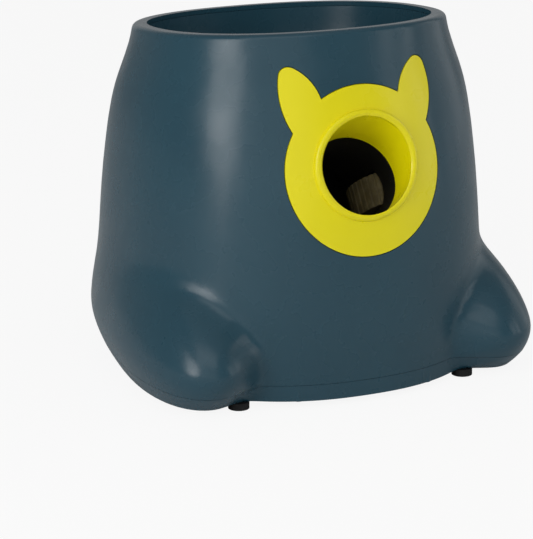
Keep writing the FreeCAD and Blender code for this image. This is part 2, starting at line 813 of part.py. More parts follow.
def flange_screw_holes(name):
    holes = []
    for word, side in SIDES.items():
        place = frame_at(side * FLANGE_SCREW_X, -BEYOND / 2, -FLANGE_ALONG, ALONG_Y, muzzle_frame)
        holes.append(cylinder(f"{name}_{word}", "screw_radius + screw_clearance", str(BEYOND), place))
    return holes


def barrel_half(name, label, upper):
    outer = barrel_body(name + "_outer", TUBE, "0")
    inner = barrel_body(name + "_inner", "bore_radius", "bore_radius")
    # the flange lies on its own side of the split plane
    turn = ALONG_Y if upper else Rotation(X_AXIS, 90)
    flange = box(name + "_flange", "2 * (bore_radius + tube_wall + barrel_flange)", str(FLANGE_DEEP),
                 "flange_thickness", frame_at(0, 0, -FLANGE_ALONG, turn, muzzle_frame))
    whole = [common(name + "_side", outer, half_space(name + "_space", upper)), flange]
    voids = [inner] + wheel_windows(name + "_window") + flange_screw_holes(name + "_screw_hole")
    voids.append(sensor_way(name + "_sensor_way", muzzle_frame, GUARD_SENSOR_ALONG))
    if not upper:
        border = MOTOR_PLATE_BORDER
        whole.append(box(name + "_motor_plate", f"2 * (wheel_offset + launch_motor_radius + {border})",
                         f"2 * (launch_motor_radius + {border})", "motor_plate",
                         frame_at(0, MOTOR_PLATE_TOP, -S.wheel_depth, Rotation(X_AXIS, 90), muzzle_frame)))
        for word, side in SIDES.items():
            for number, (x, along) in enumerate(motor_holes(side)):
                radius = "launch_motor_boss + seat_gap" if number == 0 else "screw_radius + screw_clearance"
                place = frame_at(x, MOTOR_PLATE_TOP - BEYOND / 3, along, ALONG_Y, muzzle_frame)
                voids.append(cylinder(f"{name}_motor_hole_{word}_{number}", radius, str(BEYOND / 2), place))
    return keep(cut(name, fuse(name + "_solid", *whole), *voids), label)


def motor_holes(side):
    """Shaft hole and two screw holes of a launch motor, in the barrel frame (x, along)."""
    middle = side * S.wheel_offset
    return [(middle, -S.wheel_depth + step * S.motor_screw_out) for step in (0, -1, 1)]


barrel_half("BarrelLower", "barrel_lower", False)
barrel_half("BarrelUpper", "barrel_upper", True)
sensor_pair("guard_sensors", muzzle_frame, GUARD_SENSOR_ALONG)

SCREW_HEAD_HIGH = 2.4


def screw(name, place, shank, head_radius="screw_head", radius="screw_radius"):
    """A pan-head screw whose head starts at the placement and whose shank runs along -Z."""
    head = cylinder(name + "_head", head_radius, str(SCREW_HEAD_HIGH), place)
    stem_place = place.multiply(Placement(Vector(0, 0, -shank), UPRIGHT))
    stem = cylinder(name + "_stem", radius, str(shank), stem_place)
    return fuse(name, head, stem)


def small_screw(name, place, shank):
    return screw(name, place, shank, "small_screw_head", "small_screw_radius")


DOWN_TURN = Rotation(X_AXIS, 180)
SCREW_TIP = 2.0
barrel_screws = []
for word, side in SIDES.items():
    spot = frame_at(side * FLANGE_SCREW_X, S.flange_thickness, -FLANGE_ALONG, ALONG_Y, muzzle_frame)
    barrel_screws.append(screw(f"BarrelScrew_{word}", spot, 2 * S.flange_thickness + SCREW_TIP))
keep(group("BarrelScrews", barrel_screws), "barrel_screws")


# ---------------------------------------------------------------- launch motors and wheels

MOTOR_BOSS_HIGH = 2.0
MOTOR_CAP_HIGH = 2.5
MOTOR_BORE_DEEP = 14.0
MOTOR_TAP_DEEP = 5.0
for word, side in SIDES.items():
    face = MOTOR_PLATE_TOP - S.motor_plate
    base = frame_at(side * S.wheel_offset, face, -S.wheel_depth, Rotation(X_AXIS, 90), muzzle_frame)
    toward_wheel = frame_at(side * S.wheel_offset, face, -S.wheel_depth, ALONG_Y, muzzle_frame)
    can = cylinder(f"MotorCan_{word}", "launch_motor_radius", "launch_motor_length", base)
    boss = cylinder(f"MotorBoss_{word}", "launch_motor_boss", str(MOTOR_BOSS_HIGH), toward_wheel)
    end_cap = cylinder(f"MotorCap_{word}", "launch_motor_cap", f"launch_motor_length + {MOTOR_CAP_HIGH}", base)
    bore_start = frame_at(side * S.wheel_offset, face - MOTOR_BORE_DEEP, -S.wheel_depth, ALONG_Y, muzzle_frame)
    bore = cylinder(f"MotorBore_{word}", "launch_shaft_radius + running_gap", str(2 * MOTOR_BORE_DEEP), bore_start)
    holes = [bore]
    for number, (x, along) in enumerate(motor_holes(side)[1:]):
        place = frame_at(x, face - MOTOR_TAP_DEEP, along, ALONG_Y, muzzle_frame)
        holes.append(cylinder(f"MotorTap_{word}_{number}", "screw_radius + screw_clearance",
                              str(2 * MOTOR_TAP_DEEP), place))
    motor = cut(f"LaunchMotor_{word}", fuse(f"MotorSolid_{word}", can, boss, end_cap), *holes)
    keep(motor, f"launch_motor_{word}")

motor_screws = []
for word, side in SIDES.items():
    for number, (x, along) in enumerate(motor_holes(side)[1:]):
        place = frame_at(x, MOTOR_PLATE_TOP, along, ALONG_Y, muzzle_frame)
        motor_screws.append(screw(f"MotorScrew_{word}_{number}", place, S.motor_plate + MOTOR_TAP_DEEP - SCREW_END_ROOM))
keep(group("MotorScrews", motor_screws), "motor_screws")


def plane_of(body, role):
    return next(feature for feature in body.Origin.OriginFeatures if feature.Role == role)


def new_body(name, label, place):
    body = doc.addObject("PartDesign::Body", name)
    body.Placement = place
    return keep(body, label)


def new_sketch(body, name, role="XY_Plane", height=None):
    sketch = body.newObject("Sketcher::SketchObject", name)
    sketch.AttachmentSupport = [(plane_of(body, role), "")]
    sketch.MapMode = "FlatFace"
    if height:
        sketch.setExpression("AttachmentOffset.Base.z", rule(height))
    return sketch


def draw_circle(sketch, radius, x=0.0, y=0.0):
    index = sketch.addGeometry(Part.Circle(Vector(x, y, 0), Z_AXIS, 1), False)
    for kind, value, axis in (("DistanceX", x, -2), ("DistanceY", y, -1)):
        if value:
            sketch.addConstraint(Sketcher.Constraint(kind, -1, 1, index, 3, value))
        else:
            sketch.addConstraint(Sketcher.Constraint("PointOnObject", index, 3, axis))
    number = sketch.addConstraint(Sketcher.Constraint("Radius", index, 1))
    sketch.setExpression(f"Constraints[{number}]", rule(radius))
    return index


def draw_rectangle(sketch, wide, tall):
    """A rectangle about the sketch's origin."""
    corners = [Vector(-1, -1, 0), Vector(1, -1, 0), Vector(1, 1, 0), Vector(-1, 1, 0)]
    lines = [
        sketch.addGeometry(Part.LineSegment(corners[i], corners[(i + 1) % 4]), False) for i in range(4)
    ]
    for i in range(4):
        sketch.addConstraint(Sketcher.Constraint("Coincident", lines[i], 2, lines[(i + 1) % 4], 1))
        sketch.addConstraint(Sketcher.Constraint("Horizontal" if i % 2 == 0 else "Vertical", lines[i]))
    sketch.addConstraint(Sketcher.Constraint("Symmetric", lines[0], 1, lines[2], 1, -1, 1))
    for line, kind, size in ((lines[0], "DistanceX", wide), (lines[1], "DistanceY", tall)):
        number = sketch.addConstraint(Sketcher.Constraint(kind, line, 1, line, 2, 2))
        sketch.setExpression(f"Constraints[{number}]", rule(size))


def pad(body, name, sketch, length):
    feature = body.newObject("PartDesign::Pad", name)
    feature.Profile = sketch
    feature.setExpression("Length", rule(length))
    return feature


def pocket(body, name, sketch, length, up=True):
    """A pocket that cuts along +Z of the body, as the pads grow."""
    feature = body.newObject("PartDesign::Pocket", name)
    feature.Profile = sketch
    feature.setExpression("Length", rule(length))
    feature.Reversed = up
    return feature


def polar(body, name, feature, count):
    pattern = body.newObject("PartDesign::PolarPattern", name)
    pattern.Originals = [feature]
    pattern.Axis = (plane_of(body, "Z_Axis"), [""])
    pattern.Angle = 360
    pattern.Occurrences = count
    body.Tip = pattern
    return pattern


TYRE_RIBS = 40
TYRE_FIT = 0.05
HUB_FACE = 2.0
HUB_HOLES = 6
wheel_bottom = -S.wheel_width / 2
for word, side in SIDES.items():
    place = frame_at(side * S.wheel_offset, wheel_bottom, -S.wheel_depth, ALONG_Y, muzzle_frame)
    tyre = new_body(f"WheelTyre_{word}", f"wheel_tyre_{word}", place)
    ring = new_sketch(tyre, f"TyreRing_{word}")
    draw_circle(ring, "wheel_radius")
    draw_circle(ring, f"hub_radius + {TYRE_FIT}")
    pad(tyre, f"TyrePad_{word}", ring, "wheel_width")
    groove_sketch = new_sketch(tyre, f"TyreGroove_{word}")
    draw_circle(groove_sketch, "tyre_groove", S.wheel_radius, 0)
    groove = pocket(tyre, f"TyreCut_{word}", groove_sketch, "wheel_width")
    polar(tyre, f"TyreRibs_{word}", groove, TYRE_RIBS)

    hub = new_body(f"WheelHub_{word}", f"wheel_hub_{word}", place)
    hub_sketch = new_sketch(hub, f"HubRing_{word}")
    draw_circle(hub_sketch, "hub_radius")
    draw_circle(hub_sketch, "launch_shaft_radius + running_gap")
    pad(hub, f"HubPad_{word}", hub_sketch, "wheel_width")
    dish_sketch = new_sketch(hub, f"HubDish_{word}")
    draw_circle(dish_sketch, "hub_radius - hub_rim")
    draw_circle(dish_sketch, "hub_boss")
    pocket(hub, f"HubDishCut_{word}", dish_sketch, "hub_dish")
    upper_dish = new_sketch(hub, f"HubUpperDish_{word}", "XY_Plane", "wheel_width")
    draw_circle(upper_dish, "hub_radius - hub_rim")
    draw_circle(upper_dish, "hub_boss")
    pocket(hub, f"HubUpperCut_{word}", upper_dish, "hub_dish", up=False)
    hole_sketch = new_sketch(hub, f"HubHole_{word}")
    draw_circle(hole_sketch, "hub_hole", S.hub_hole_out, 0)
    hole = pocket(hub, f"HubHoleCut_{word}", hole_sketch, "wheel_width")
    polar(hub, f"HubHoles_{word}", hole, HUB_HOLES)

    shaft_start = MOTOR_PLATE_TOP - S.motor_plate - MOTOR_BORE_DEEP + 2 * SCREW_END_ROOM
    shaft_place = frame_at(side * S.wheel_offset, shaft_start, -S.wheel_depth, ALONG_Y, muzzle_frame)
    shaft_length = S.wheel_width / 2 - HUB_FACE - shaft_start
    shaft = cylinder(f"LaunchShaft_{word}", "launch_shaft_radius", str(shaft_length), shaft_place)
    keep(shaft, f"launch_shaft_{word}")


# ---------------------------------------------------------------- ball chute

GATE_SLOT = 2.0
GATE_SLOT_END = 2.5
GATE_SLOT_DEEP = 12.0
slot_reach = math.sqrt(S.gate_radius**2 - S.gate_drop**2) + GATE_SLOT_END
chute_start = frame_at(0, 0, S.breech_stub + S.seat_gap, UPRIGHT, chute_frame)
drop_place = frame_at(0, S.chute_drop_back, S.chute_drop_height)


def chute_body(name, radius):
    run = cylinder(name + "_run", radius, f"{CHUTE_LENGTH} - breech_stub - seat_gap", chute_start)
    elbow = sphere(name + "_elbow", f"{radius} + {ELBOW_SWELL}", drop_place)
    drop = cylinder(name + "_drop", radius, "chute_top - chute_drop_height", drop_place)
    over_mouth = box(name + "_over_mouth", f"4 * ({radius})", f"4 * ({radius})", radius,
                     frame_at(0, S.chute_drop_back, S.chute_top))
    return cut(name, fuse(name + "_solid", run, elbow, drop), over_mouth)


gate_slot = box("GateSlot", f"gate_width + 2 * {GATE_SLOT}", str(2 * slot_reach), f"tube_wall + 2 * {GATE_SLOT_DEEP}",
                frame_at(0, S.bore_radius - GATE_SLOT_DEEP, S.gate_along, ALONG_Y, chute_frame))
BALL_SENSOR_ALONG = S.gate_along - 20.0
ball_sensor_way = sensor_way("BallSensorWay", chute_frame, BALL_SENSOR_ALONG)
chute = cut("BallChute", chute_body("ChuteOuter", TUBE), chute_body("ChuteInner", "bore_radius"),
            gate_slot, ball_sensor_way)
keep(chute, "ball_chute")
sensor_pair("ball_sensors", chute_frame, BALL_SENSOR_ALONG)


# ---------------------------------------------------------------- feed gate

PADDLES = 3
PADDLE_THICK = 6.0
gate_frame = Placement(gate_centre, ALONG_X)
gate_pieces = [cylinder("GateHub", "gate_hub", "gate_width", frame_at(0, 0, -S.gate_width / 2, UPRIGHT, gate_frame))]
for number in range(PADDLES):
    turn = Rotation(Z_AXIS, 360 / PADDLES * (number + 0.5))
    arm_frame = gate_frame.multiply(Placement(Vector(), turn))
    reach = S.gate_radius - PADDLE_THICK / 2
    gate_pieces.append(box(f"GateArm_{number}", str(reach), str(PADDLE_THICK), "gate_width",
                           frame_at(reach / 2, 0, -S.gate_width / 2, UPRIGHT, arm_frame)))
    gate_pieces.append(cylinder(f"GateTip_{number}", str(PADDLE_THICK / 2), "gate_width",
                                frame_at(reach, 0, -S.gate_width / 2, UPRIGHT, arm_frame)))
gate_bore = cylinder("GateBore", "gate_shaft + running_gap", "2 * gate_width",
                     frame_at(0, 0, -S.gate_width, UPRIGHT, gate_frame))
keep(cut("FeedGate", fuse("GateSolid", *gate_pieces), gate_bore), "feed_gate")

BRACKET_OUT = S.gate_bracket_out
SHAFT_TAIL = 3.0
SHAFT_DRIVE = 9.0
shaft_from = -BRACKET_OUT - SHAFT_TAIL
keep(cylinder("GateShaft", "gate_shaft", f"2 * gate_bracket_out + {SHAFT_TAIL + SHAFT_DRIVE}",
              frame_at(0, 0, shaft_from, UPRIGHT, gate_frame)), "gate_shaft")

BRACKET_WIDE = 24.0
CHEEK_ABOVE = 8.0
cheek_high = gate_centre.z + CHEEK_ABOVE - TRAY_FLOOR
gate_bracket_pieces = [box("GateBracketBase", f"2 * (gate_bracket_out + {BRACKET_FOOT})", str(BRACKET_WIDE),
                           str(BRACKET_PLATE), frame_at(0, gate_centre.y, TRAY_FLOOR))]
for word, side in SIDES.items():
    gate_bracket_pieces.append(box(f"GateCheek_{word}", str(BRACKET_PLATE), str(BRACKET_WIDE), str(cheek_high),
                                   frame_at(side * BRACKET_OUT, gate_centre.y, TRAY_FLOOR)))
shaft_way = cylinder("GateShaftWay", "gate_shaft + running_gap", "4 * gate_bracket_out",
                     frame_at(0, 0, -2 * S.gate_bracket_out, UPRIGHT, gate_frame))


def floor_screw_ways(name, spots):
    return [cylinder(f"{name}_{number}", "screw_radius + screw_clearance", str(BEYOND), frame_at(spot.x, spot.y, 0))
            for number, spot in enumerate(spots)]


gate_bracket = cut("GateBracket", fuse("GateBracketSolid", *gate_bracket_pieces), shaft_way,
                   *floor_screw_ways("GateBracketWay", GATE_SPOTS))
keep(gate_bracket, "gate_bracket")

GEAR_BOX = 18.0
GEAR_CASE_TALL = 22.0
GEAR_CASE_DEEP = 24.0
GEAR_CAN_RADIUS = 11.0
gear_start = BRACKET_OUT + BRACKET_PLATE / 2
gear_case = box("GearCase", str(GEAR_CASE_TALL), str(GEAR_CASE_DEEP), str(GEAR_BOX),
                frame_at(0, 0, gear_start, UPRIGHT, gate_frame))
gear_can = cylinder("GearMotorCan", str(GEAR_CAN_RADIUS), "gear_motor_length",
                    frame_at(0, 0, gear_start + GEAR_BOX, UPRIGHT, gate_frame))
gear_bore = cylinder("GearBore", "gate_shaft + running_gap", str(SHAFT_DRIVE + SCREW_END_ROOM),
                     frame_at(0, 0, BRACKET_OUT, UPRIGHT, gate_frame))
keep(cut("FeedMotor", fuse("GearSolid", gear_case, gear_can), gear_bore), "feed_motor")


# ---------------------------------------------------------------- brackets under barrel and chute

SADDLE_PLATE = 4.0


def saddle(name, label, y, spots, depth, high, shape, plates):
    """Upright plates on a foot, their tops cut to the round piece that they carry."""
    pieces = [box(name + "_foot", f"2 * (bore_radius + {BRACKET_PLATE})", str(depth), str(BRACKET_PLATE),
                  frame_at(0, y, TRAY_FLOOR))]
    for number, plate_y in enumerate(plates):
        pieces.append(box(f"{name}_plate_{number}", f"2 * (bore_radius + {BRACKET_PLATE})", str(SADDLE_PLATE),
                          str(high - TRAY_FLOOR), frame_at(0, plate_y, TRAY_FLOOR)))
    body = cut(name, fuse(name + "_solid", *pieces), shape, *floor_screw_ways(name + "_way", spots))
    return keep(body, label)


CRADLE_DEEP = 48.0
CRADLE_PLATES = (CRADLE_Y - 21.0, CRADLE_Y + 21.0)
CRADLE_TOP = along_barrel(-S.wheel_depth).z - S.bore_radius * 0.75
STAND_DEEP = 18.0
STAND_TOP = S.chute_drop_height - S.bore_radius * 0.6
SEAT_RADIUS = "bore_radius + tube_wall + seat_gap"
saddle("BarrelCradle", "barrel_cradle", CRADLE_Y, CRADLE_SPOTS, CRADLE_DEEP, CRADLE_TOP,
       barrel_body("CradleRoom", SEAT_RADIUS, "0"), CRADLE_PLATES)
saddle("ChuteStand", "chute_stand", STAND_Y, STAND_SPOTS, STAND_DEEP, STAND_TOP,
       chute_body("StandRoom", SEAT_RADIUS), (STAND_Y + 3.0,))
bracket_screws = []
for name, spots in (("CradleScrew", CRADLE_SPOTS), ("StandScrew", STAND_SPOTS), ("GateScrew", GATE_SPOTS)):
    for number, spot in enumerate(spots):
        bracket_screws.append(screw(f"{name}_{number}", frame_at(spot.x, spot.y, TRAY_FLOOR + BRACKET_PLATE),
                                    BRACKET_PLATE + S.wall))
keep(group("BracketScrews", bracket_screws), "bracket_screws")


# ---------------------------------------------------------------- electronics on the tray

board = new_body("CircuitBoard", "circuit_board", frame_at(BOARD_X, BOARD_Y, TRAY_FLOOR + BOARD_LIFT))
board_sketch = new_sketch(board, "BoardOutline")
draw_rectangle(board_sketch, str(BOARD_WIDE), str(BOARD_DEEP))
for spot in BOARD_SPOTS:
    draw_circle(board_sketch, "screw_radius", spot.x - BOARD_X, spot.y - BOARD_Y)
pad(board, "BoardPad", board_sketch, str(BOARD_THICK))

board_top = TRAY_FLOOR + BOARD_LIFT + BOARD_THICK
board_parts = []
for number, (x, y, wide, deep, high) in enumerate((
        (0, 4, 14, 14, 2.0), (-14, -24, 9, 18, 9.0), (12, -26, 12, 8, 8.0), (16, 24, 10, 16, 11.0), (-12, 26, 8, 8, 3.0))):
    board_parts.append(box(f"BoardBlock_{number}", str(wide), str(deep), str(high),
                           frame_at(BOARD_X + x, BOARD_Y + y, board_top)))
for number, (x, y) in enumerate(((14, 2), (-16, 0), (-18, 12))):
    board_parts.append(cylinder(f"BoardCan_{number}", "4", "11", frame_at(BOARD_X + x, BOARD_Y + y, board_top)))
keep(group("BoardParts", board_parts), "board_parts")
board_screws = [small_screw(f"BoardScrew_{number}", frame_at(spot.x, spot.y, board_top), 6.0)
                for number, spot in enumerate(BOARD_SPOTS)]
keep(group("BoardScrews", board_screws), "board_screws")

speaker_seat = frame_at(SPEAKER_SPOT.x, SPEAKER_SPOT.y, TRAY_FLOOR)
speaker_rim = cylinder("SpeakerRim", str(SPEAKER_RADIUS), "3", speaker_seat)
speaker_magnet = cylinder("SpeakerMagnet", str(SPEAKER_RADIUS * 0.6), "10", speaker_seat)
speaker_cone = doc.addObject("Part::Cone", "SpeakerCone")
speaker_cone.Radius1 = SPEAKER_RADIUS - 3
speaker_cone.Radius2 = SPEAKER_RADIUS * 0.35
speaker_cone.Height = 5
speaker_cone.Placement = frame_at(SPEAKER_SPOT.x, SPEAKER_SPOT.y, TRAY_FLOOR - 1)
keep(cut("Speaker", fuse("SpeakerSolid", speaker_rim, speaker_magnet), speaker_cone), "speaker")


# ---------------------------------------------------------------- feet, screws

feet = []
for number, spot in enumerate(FOOT_SPOTS):
    pad_disc = cylinder(f"FootPad_{number}", "foot_radius", "floor_gap", frame_at(spot.x, spot.y, 0))
    plug = cylinder(f"FootPlug_{number}", str(FOOT_PLUG), "floor_gap + wall", frame_at(spot.x, spot.y, 0))
    feet.append(fuse(f"Foot_{number}", pad_disc, plug))
keep(group("RubberFeet", feet), "rubber_feet")

housing_screws = []
for number, angle in enumerate(BOSS_ANGLES):
    spot = boss_spot(angle)
    place = frame_at(spot.x, spot.y, S.floor_gap + HEAD_DEPTH - 0.1, DOWN_TURN)
    housing_screws.append(screw(f"HousingScrew_{number}", place, 30.0))
keep(group("HousingScrews", housing_screws), "housing_screws")


# ---------------------------------------------------------------- battery bay

SPRING_RADIUS = 5.0
SPRING_WIRE = 0.5
SPRING_PITCH = 1.6


def coil(radius, wire, pitch, height):
    """A round wire wound along +Z."""
    rings = []
    for turn in spaced(0, 2 * math.pi * height / pitch, math.pi / 8):
        outward = Vector(math.cos(turn), math.sin(turn), 0)
        centre = outward * radius + Z_AXIS * (pitch * turn / (2 * math.pi))
        rings.append([
            centre + (outward * math.cos(angle) + Z_AXIS * math.sin(angle)) * wire
            for angle in (step * math.pi / 4 for step in range(8))
        ])
    return solid_from_rings(rings)


cells = []
springs = []
plates = []
cell_z = BAY_TOP - S.cell_radius - 1.0
for row in range(CELLS_DEEP):
    y = BAY_MIDDLE + (row - 1) * (2 * S.cell_radius + 2 * S.seat_gap)
    for column in range(CELLS_ACROSS):
        start = BAY_WIDE / 2 - 1 + (column - CELLS_ACROSS) * S.cell_length
        case = cylinder(f"Cell_{row}_{column}", "cell_radius", "cell_length - 1.8", frame_at(start, y, cell_z, ALONG_X))
        tip = cylinder(f"CellTip_{row}_{column}", "3", "cell_length - 0.2", frame_at(start, y, cell_z, ALONG_X))
        cells.append(fuse(f"CellBody_{row}_{column}", case, tip))
    spring = shaped(f"ContactSpring_{row}", coil(SPRING_RADIUS, SPRING_WIRE, SPRING_PITCH, SPRING_ROOM - 3.2))
    spring.Placement = frame_at(-BAY_WIDE / 2 + 0.8 + SPRING_WIRE, y, cell_z, ALONG_X)
    springs.append(spring)
    for side in (-1, 1):
        plates.append(box(f"ContactPlate_{row}_{side}", "0.5", "16", "14",
                          frame_at(side * (BAY_WIDE / 2 - 0.45), y, cell_z - 7)))
keep(group("BatteryCells", cells), "battery_cells")
keep(group("ContactSprings", springs), "contact_springs")
keep(group("ContactPlates", plates), "contact_plates")

door_y = HINGE_Y - S.seat_gap - HINGE_RADIUS
door_deep = BAY_DEEP - 2 * S.seat_gap - HINGE_RADIUS
door_slab = box("DoorSlab", str(BAY_WIDE - 2 * S.seat_gap), str(door_deep), "door_thickness",
                frame_at(0, door_y - door_deep / 2, S.floor_gap))
door_edge = cylinder("DoorEdge", "door_thickness / 2", str(BAY_WIDE - 2 * S.seat_gap),
                     frame_at(-BAY_WIDE / 2 + S.seat_gap, door_y, S.floor_gap + HINGE_RADIUS, ALONG_X))
door_pins = cylinder("DoorPins", str(PIN_RADIUS), str(BAY_WIDE + 2 * PIN_REACH),
                     frame_at(-BAY_WIDE / 2 - PIN_REACH, door_y, S.floor_gap + HINGE_RADIUS, ALONG_X))
LATCH_WIDE = 16.0
latch = box("DoorLatch", str(LATCH_WIDE), "2", "9", frame_at(0, door_y - door_deep + 2.5, S.floor_gap))
keep(fuse("BatteryDoor", door_slab, door_edge, door_pins, latch), "battery_door")


# ---------------------------------------------------------------- rear control panel

facing_rear = Rotation(X_AXIS, -90)
panel_frame_place = frame_at(0, PANEL_BACK, S.panel_height, facing_rear)
LENS_RADIUS = 2.4
LENS_SPOTS = [(-8.0, -12.0), (0.0, -12.0), (8.0, -12.0)]
JACK_NOSE = 5.0
JACK_DROP = 12.0
BUTTON_PROUD = 4.0
BUTTON_FLANGE = 2.0
BUTTON_TRAVEL = 1.2
BUTTON_SLACK = 0.2
SWITCH_HIGH = 4.0
BUTTON_BOARD_GAP = BUTTON_SLACK + BUTTON_FLANGE + BUTTON_TRAVEL + 0.3 + SWITCH_HIGH
BUTTON_BOARD_SHIFT = -5.0
BUTTON_BOARD_TALL = 20.0
PANEL_POST_RADIUS = 2.4
PANEL_POSTS = [
    (side * (S.panel_width / 2 - 4.5), BUTTON_BOARD_SHIFT + end * (BUTTON_BOARD_TALL / 2 - 3))
    for side in (-1, 1) for end in (-1, 1)
]
panel = new_body("ControlPanel", "control_panel", panel_frame_place)
panel_sketch = new_sketch(panel, "PanelOutline")
draw_rectangle(panel_sketch, f"panel_width + 2 * {PANEL_EDGE}", f"panel_tall + 2 * {PANEL_EDGE}")
for side in SIDES.values():
    draw_circle(panel_sketch, "button_radius + seat_gap", side * S.button_spread, 0)
for x, y in PANEL_SCREW_SPOTS:
    draw_circle(panel_sketch, "screw_radius + screw_clearance", x, y)
for x, y in LENS_SPOTS:
    draw_circle(panel_sketch, str(LENS_RADIUS + 0.15), x, y)
draw_circle(panel_sketch, str(JACK_NOSE + 0.2), 0, JACK_DROP)
pad(panel, "PanelPad", panel_sketch, "panel_thickness")
post_sketch = new_sketch(panel, "PanelPosts")
for x, y in PANEL_POSTS:
    draw_circle(post_sketch, str(PANEL_POST_RADIUS), x, y)
posts_pad = pad(panel, "PanelPostPad", post_sketch, str(BUTTON_BOARD_GAP))
posts_pad.Reversed = True
pilot_sketch = new_sketch(panel, "PanelPilots", "XY_Plane", str(-BUTTON_BOARD_GAP))
for x, y in PANEL_POSTS:
    draw_circle(pilot_sketch, str(PILOT), x, y)
pocket(panel, "PanelPilotCut", pilot_sketch, str(BUTTON_BOARD_GAP - 1))

buttons = {"power_button": -1, "distance_button": 1}
for label, side in buttons.items():
    place = frame_at(side * S.button_spread, 0, -BUTTON_FLANGE - BUTTON_SLACK, UPRIGHT, panel_frame_place)
    button = new_body(label.title().replace("_", ""), label, place)
    rim_sketch = new_sketch(button, label + "_flange")
    draw_circle(rim_sketch, "button_radius + 1.6")
    pad(button, label + "_flange_pad", rim_sketch, str(BUTTON_FLANGE))
    cap_sketch = new_sketch(button, label + "_cap")
    draw_circle(cap_sketch, "button_radius")
    pad(button, label + "_cap_pad", cap_sketch, f"{BUTTON_FLANGE + BUTTON_SLACK + BUTTON_PROUD} + panel_thickness")

board_place = frame_at(0, BUTTON_BOARD_SHIFT, -BUTTON_BOARD_GAP - BOARD_THICK, UPRIGHT, panel_frame_place)
button_board = new_body("ButtonBoard", "button_board", board_place)
button_board_sketch = new_sketch(button_board, "ButtonBoardOutline")
draw_rectangle(button_board_sketch, "panel_width - 3", str(BUTTON_BOARD_TALL))
for x, y in PANEL_POSTS:
    draw_circle(button_board_sketch, str(PILOT), x, y - BUTTON_BOARD_SHIFT)
pad(button_board, "ButtonBoardPad", button_board_sketch, str(BOARD_THICK))

switches = [
    box(f"ButtonSwitch_{label}", "6", "6", str(SWITCH_HIGH),
        frame_at(side * S.button_spread, 0, -BUTTON_BOARD_GAP, UPRIGHT, panel_frame_place))
    for label, side in buttons.items()
]
keep(group("ButtonSwitches", switches), "button_switches")

lenses = []
for number, (x, y) in enumerate(LENS_SPOTS):
    stem = cylinder(f"LensStem_{number}", str(LENS_RADIUS), "panel_thickness + 1.8",
                    frame_at(x, y, -1, UPRIGHT, panel_frame_place))
    collar_ring = cylinder(f"LensCollar_{number}", str(LENS_RADIUS + 0.8), "0.95",
                           frame_at(x, y, -1, UPRIGHT, panel_frame_place))
    lenses.append(fuse(f"Lens_{number}", stem, collar_ring))
keep(group("IndicatorLenses", lenses), "indicator_lenses")

jack_place = frame_at(0, JACK_DROP, 0, UPRIGHT, panel_frame_place)
jack_case = box("JackCase", "14", "11", "12", frame_at(0, 0, -12, UPRIGHT, jack_place))
jack_nose = cylinder("JackNose", str(JACK_NOSE), "panel_thickness + 1", jack_place)
jack_bore = cylinder("JackBore", "2.9", "20", frame_at(0, 0, -9, UPRIGHT, jack_place))
jack_pin = cylinder("JackPin", "1", "panel_thickness + 9", frame_at(0, 0, -10, UPRIGHT, jack_place))
keep(fuse("PowerInlet", cut("JackShell", fuse("JackSolid", jack_case, jack_nose), jack_bore), jack_pin), "power_inlet")

panel_screws = [
    screw(f"PanelScrew_{number}", frame_at(x, y, 0, Rotation(X_AXIS, 180), panel_frame_place),
          S.panel_thickness + S.seat_gap + PANEL_SCREW_REACH)
    for number, (x, y) in enumerate(PANEL_SCREW_SPOTS)
]
keep(group("PanelScrews", panel_screws), "panel_screws")
button_board_screws = [
    small_screw(f"ButtonBoardScrew_{number}",
                frame_at(x, y, -BUTTON_BOARD_GAP - BOARD_THICK, Rotation(X_AXIS, 180), panel_frame_place), 6.0)
    for number, (x, y) in enumerate(PANEL_POSTS)
]
keep(group("ButtonBoardScrews", button_board_screws), "button_board_screws")


# ---------------------------------------------------------------- check and write

doc.recompute()
problems = []
for obj in doc.Objects:
    if "Invalid" in obj.State or "Error" in obj.State:
        problems.append(f"{obj.Name}: {obj.State}")
for obj in sub_parts:
    if obj.Shape.isNull() or not obj.Shape.isValid() or not obj.Shape.Solids:
        problems.append(f"{obj.Label}: bad shape")
if problems:
    raise RuntimeError("; ".join(problems))

os.makedirs("parts", exist_ok=True)
for obj in sub_parts:
    obj.Shape.exportStep(f"parts/{obj.Label}.step")
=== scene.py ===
"""Looks for the automatic dog ball launcher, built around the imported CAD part.

Lengths are in metres, +Z is up and the muzzle faces -Y.
"""

import json
import math

import bpy
from mathutils import Matrix, Vector


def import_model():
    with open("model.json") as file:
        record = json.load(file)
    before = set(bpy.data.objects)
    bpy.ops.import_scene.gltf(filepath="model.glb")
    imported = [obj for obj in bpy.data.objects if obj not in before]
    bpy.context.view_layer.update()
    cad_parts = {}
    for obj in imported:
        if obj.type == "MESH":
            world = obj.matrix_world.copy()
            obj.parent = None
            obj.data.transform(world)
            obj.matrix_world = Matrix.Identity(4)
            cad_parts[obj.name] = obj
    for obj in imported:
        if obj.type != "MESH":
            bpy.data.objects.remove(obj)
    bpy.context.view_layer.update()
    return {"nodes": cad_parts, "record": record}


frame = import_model()

# camera: its turn counts from the muzzle's side toward -X, its pitch looks down
IMAGE_HEIGHT_PX = 539
FOCAL_PX = 2591.39
SENSOR_MM = 36.0
CAMERA_TURN = math.radians(24.54)
CAMERA_PITCH = math.radians(16.52)
CAMERA_HEIGHT = 0.727
CAMERA_DISTANCE = 2.2073
CAMERA_SHIFT = -0.01922
CAMERA_REACH = 100


def linear(red, green, blue):
    """sRGB bytes to a linear colour with alpha."""
    def channel(value):
        share = value / 255
        return share / 12.92 if share <= 0.04045 else ((share + 0.055) / 1.055) ** 2.4

    return (channel(red), channel(green), channel(blue), 1.0)


# ---------------------------------------------------------------- materials

